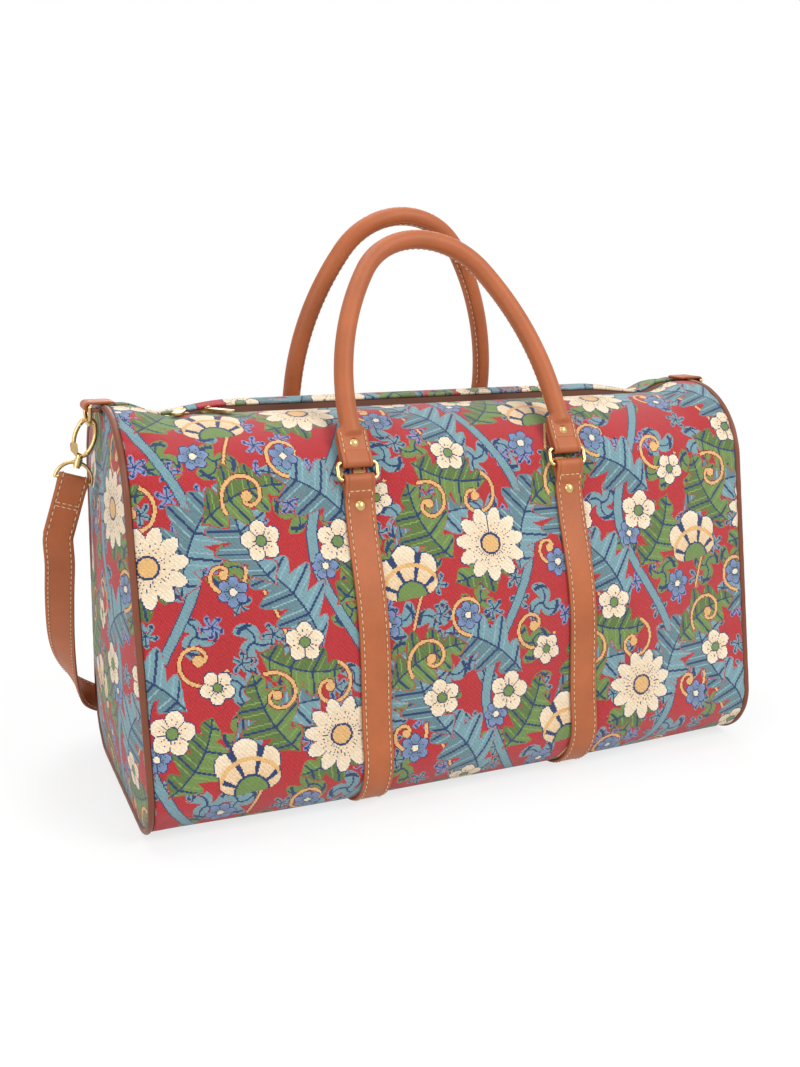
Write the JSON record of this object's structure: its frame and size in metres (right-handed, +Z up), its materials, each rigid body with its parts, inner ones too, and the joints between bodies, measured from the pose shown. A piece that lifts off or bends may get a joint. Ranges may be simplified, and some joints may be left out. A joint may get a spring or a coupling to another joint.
{
  "type": "travel bag",
  "caption": "Soft travel bag in woven tapestry with rolled leather handles, leather straps and piping, a top zip and a clip-on shoulder strap.",
  "frame": {"origin": "middle of the base, on the floor that the straps under the base touch", "axes": "+X along the bag to its right end, +Y to the back, where the shoulder strap hangs, +Z up"},
  "size_m": [0.6174, 0.2517, 0.4565],
  "materials": {
    "tapestry": "woven, matt",
    "piping": "satin",
    "lining": "matt",
    "board": "matt",
    "zip_tape": "matt",
    "zip_teeth": "satin",
    "leather": "satin",
    "hardware": "polished"
  },
  "bodies": {
    "bag": {"front_panel": "tapestry", "back_panel": "tapestry", "left_end_panel": "tapestry", "right_end_panel": "tapestry", "left_piping": "piping", "right_piping": "piping", "lining": "lining", "left_lining_end": "lining", "right_lining_end": "lining", "base_board": "board", "front_zip_tape": "zip_tape", "back_zip_tape": "zip_tape", "front_zip_teeth": "zip_teeth", "back_zip_teeth": "zip_teeth", "zip_stops": "hardware", "left_body_strap": "leather", "right_body_strap": "leather", "strap_rivets": "hardware", "left_end_tab": "leather", "right_end_tab": "leather"},
    "front_rings": {"front_left_ring": "hardware", "front_right_ring": "hardware"},
    "front_handle": {"front_handle": "leather", "front_handle_rivets": "hardware"},
    "back_rings": {"back_left_ring": "hardware", "back_right_ring": "hardware"},
    "back_handle": {"back_handle": "leather", "back_handle_rivets": "hardware"},
    "left_slider": {"left_zip_slider": "hardware"},
    "left_pull": {"left_zip_pull": "hardware"},
    "right_slider": {"right_zip_slider": "hardware"},
    "right_pull": {"right_zip_pull": "hardware"},
    "left_d_ring": {"left_d_ring": "hardware"},
    "right_d_ring": {"right_d_ring": "hardware"},
    "shoulder_strap": {"shoulder_strap": "leather", "left_strap_ring": "hardware", "right_strap_ring": "hardware"},
    "left_hook": {"left_hook": "hardware"},
    "right_hook": {"right_hook": "hardware"},
    "left_gate": {"left_hook_gate": "hardware"},
    "right_gate": {"right_hook_gate": "hardware"}
  },
  "joints": [
    {"name": "front_rings_turn", "type": "hinge", "parent": "bag", "child": "front_rings", "pos_m": [0, -0.0841, 0.25422], "axis": [1, 0, 0], "range_deg": [0, 45]},
    {"name": "front_handle_turn", "type": "hinge", "parent": "front_rings", "child": "front_handle", "pos_m": [0, -0.07983, 0.26596], "axis": [1, 0, 0], "range_deg": [0, 130]},
    {"name": "back_rings_turn", "type": "hinge", "parent": "bag", "child": "back_rings", "pos_m": [0, 0.0841, 0.25422], "axis": [-1, 0, 0], "range_deg": [0, 45]},
    {"name": "back_handle_turn", "type": "hinge", "parent": "back_rings", "child": "back_handle", "pos_m": [0, 0.07983, 0.26596], "axis": [-1, 0, 0], "range_deg": [0, 120]},
    {"name": "left_slider_slide", "type": "slide", "parent": "bag", "child": "left_slider", "axis": [1, 0, 0], "range_m": [-0.0045, 0.004]},
    {"name": "left_pull_lift", "type": "hinge", "parent": "left_slider", "child": "left_pull", "pos_m": [-0.201, 0, 0.3015], "axis": [-0.9272, 0.3746, 0], "range_deg": [0, 100]},
    {"name": "right_slider_slide", "type": "slide", "parent": "bag", "child": "right_slider", "axis": [1, 0, 0], "range_m": [-0.004, 0.3865]},
    {"name": "right_pull_lift", "type": "hinge", "parent": "right_slider", "child": "right_pull", "pos_m": [-0.181, 0, 0.3015], "axis": [-0.866, -0.5, 0], "range_deg": [0, 100]},
    {"name": "left_d_ring_swing", "type": "hinge", "parent": "bag", "child": "left_d_ring", "pos_m": [-0.271, 0, 0.3077], "axis": [0, 1, 0], "range_deg": [-3, 3]},
    {"name": "right_d_ring_swing", "type": "hinge", "parent": "bag", "child": "right_d_ring", "pos_m": [0.271, 0, 0.3077], "axis": [0, 1, 0], "range_deg": [-3, 3]},
    {"name": "shoulder_strap_swing", "type": "hinge", "parent": "bag", "child": "shoulder_strap", "pos_m": [0, 0, 0.3077], "axis": [1, 0, 0], "range_deg": [0, 48]},
    {"name": "left_hook_swivel", "type": "hinge", "parent": "shoulder_strap", "child": "left_hook", "pos_m": [-0.271, 0, 0.29426], "axis": [0.309, 0, 0.9511], "range_deg": [-25, 25]},
    {"name": "right_hook_swivel", "type": "hinge", "parent": "shoulder_strap", "child": "right_hook", "pos_m": [0.271, 0, 0.29426], "axis": [-0.309, 0, 0.9511], "range_deg": [-25, 25]},
    {"name": "left_gate_open", "type": "hinge", "parent": "left_hook", "child": "left_gate", "pos_m": [-0.28225, 0, 0.27933], "axis": [0, 1, 0], "range_deg": [0, 30], "stiffness_Nm_per_rad": 0.01, "springref_deg": -11.46},
    {"name": "right_gate_open", "type": "hinge", "parent": "right_hook", "child": "right_gate", "pos_m": [0.28225, 0, 0.27933], "axis": [0, -1, 0], "range_deg": [0, 30], "stiffness_Nm_per_rad": 0.01, "springref_deg": -11.46}
  ]
}
